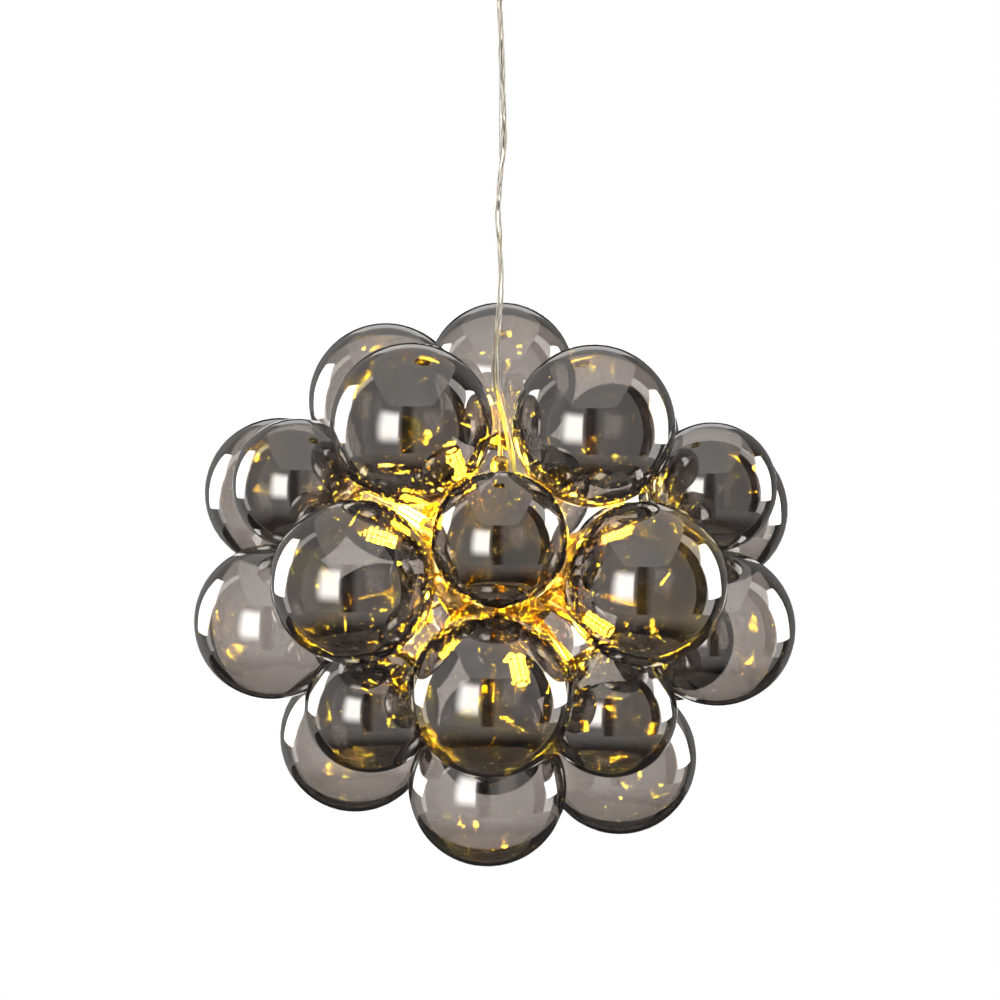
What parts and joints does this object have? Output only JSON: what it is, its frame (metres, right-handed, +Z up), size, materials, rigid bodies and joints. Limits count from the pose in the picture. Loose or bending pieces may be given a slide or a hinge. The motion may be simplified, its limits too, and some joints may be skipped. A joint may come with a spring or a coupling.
{
  "type": "pendant chandelier",
  "caption": "Cluster of mirrored smoky glass balls and small LED lamps on gold arms round a ball-shaped core, hung from a ceiling cup by a thin wire and a clear cable.",
  "frame": {"origin": "middle of the ceiling bracket's top face, where it meets the ceiling", "axes": "+Z up to the ceiling, -Y towards the viewer of the picture, +X to the viewer's right"},
  "size_m": [0.5022, 0.501, 0.7786],
  "materials": {
    "smoky_glass": "polished, half mirrored",
    "gold_metal": "polished",
    "steel": "satin",
    "led_bulb": "clear, lit",
    "ceramic": "unglazed",
    "white_plastic": "satin",
    "rubber": "matt",
    "clear_pvc": "clear"
  },
  "bodies": {
    "ceiling": {"ceiling_bracket": "steel", "terminal_block": "white_plastic", "ceiling_tube": "gold_metal", "ceiling_cup": "gold_metal", "cup_nut": "gold_metal", "cord_grip": "gold_metal"},
    "ring": {"grip_ring": "rubber"},
    "wire": {"suspension_wire": "steel"},
    "cluster": {"power_cable": "clear_pvc", "core_stem": "gold_metal", "core_nut": "gold_metal", "core_upper_shell": "gold_metal", "core_lower_shell": "gold_metal", "top_ball_arms": "gold_metal", "belt_ball_arms": "gold_metal", "lower_ball_arms": "gold_metal", "bottom_ball_arms": "gold_metal", "top_ball_1": "smoky_glass", "top_ball_2": "smoky_glass", "top_ball_3": "smoky_glass", "top_ball_4": "smoky_glass", "belt_ball_1": "smoky_glass", "belt_ball_2": "smoky_glass", "belt_ball_3": "smoky_glass", "belt_ball_4": "smoky_glass", "belt_ball_5": "smoky_glass", "belt_ball_6": "smoky_glass", "belt_ball_7": "smoky_glass", "belt_ball_8": "smoky_glass", "belt_ball_9": "smoky_glass", "belt_ball_10": "smoky_glass", "lower_ball_1": "smoky_glass", "lower_ball_2": "smoky_glass", "lower_ball_3": "smoky_glass", "lower_ball_4": "smoky_glass", "lower_ball_5": "smoky_glass", "lower_ball_6": "smoky_glass", "lower_ball_7": "smoky_glass", "lower_ball_8": "smoky_glass", "lower_ball_9": "smoky_glass", "bottom_ball_1": "smoky_glass", "bottom_ball_2": "smoky_glass", "bottom_ball_3": "smoky_glass", "bottom_ball_4": "smoky_glass", "lamp_socket_1": "ceramic", "lamp_socket_2": "ceramic", "lamp_socket_3": "ceramic", "lamp_socket_4": "ceramic", "lamp_socket_5": "ceramic", "lamp_socket_6": "ceramic", "lamp_socket_7": "ceramic", "lamp_socket_8": "ceramic"},
    "bulb_1": {"led_bulb_1": "led_bulb"},
    "bulb_2": {"led_bulb_2": "led_bulb"},
    "bulb_3": {"led_bulb_3": "led_bulb"},
    "bulb_4": {"led_bulb_4": "led_bulb"},
    "bulb_5": {"led_bulb_5": "led_bulb"},
    "bulb_6": {"led_bulb_6": "led_bulb"},
    "bulb_7": {"led_bulb_7": "led_bulb"},
    "bulb_8": {"led_bulb_8": "led_bulb"}
  },
  "joints": [
    {"name": "swing_front_back", "type": "hinge", "parent": "ceiling", "child": "ring", "pos_m": [0, 0, -0.0666], "axis": [1, 0, 0], "range_deg": [-15, 15]},
    {"name": "swing_side", "type": "hinge", "parent": "ring", "child": "wire", "pos_m": [0, 0, -0.0666], "axis": [0, 1, 0], "range_deg": [-15, 15]},
    {"name": "turn_on_wire", "type": "hinge", "parent": "wire", "child": "cluster", "pos_m": [0, 0, -0.0666], "axis": [0, 0, 1], "range_deg": [-180, 180]},
    {"name": "bulb_1_pull", "type": "slide", "parent": "cluster", "child": "bulb_1", "axis": [-0.9587, 0.0167, 0.284], "range_m": [0, 0.012]},
    {"name": "bulb_2_pull", "type": "slide", "parent": "cluster", "child": "bulb_2", "axis": [0.9413, 0.0493, 0.3338], "range_m": [0, 0.012]},
    {"name": "bulb_3_pull", "type": "slide", "parent": "cluster", "child": "bulb_3", "axis": [-0.3332, -0.2333, 0.9135], "range_m": [0, 0.012]},
    {"name": "bulb_4_pull", "type": "slide", "parent": "cluster", "child": "bulb_4", "axis": [-0.7306, 0.613, 0.3007], "range_m": [0, 0.012]},
    {"name": "bulb_5_pull", "type": "slide", "parent": "cluster", "child": "bulb_5", "axis": [0.774, -0.5221, -0.3584], "range_m": [0, 0.012]},
    {"name": "bulb_6_pull", "type": "slide", "parent": "cluster", "child": "bulb_6", "axis": [0.1633, -0.7368, -0.6561], "range_m": [0, 0.012]},
    {"name": "bulb_7_pull", "type": "slide", "parent": "cluster", "child": "bulb_7", "axis": [-0.2952, 0.8823, -0.3665], "range_m": [0, 0.012]},
    {"name": "bulb_8_pull", "type": "slide", "parent": "cluster", "child": "bulb_8", "axis": [-0.478, 0.4864, -0.7314], "range_m": [0, 0.012]}
  ]
}
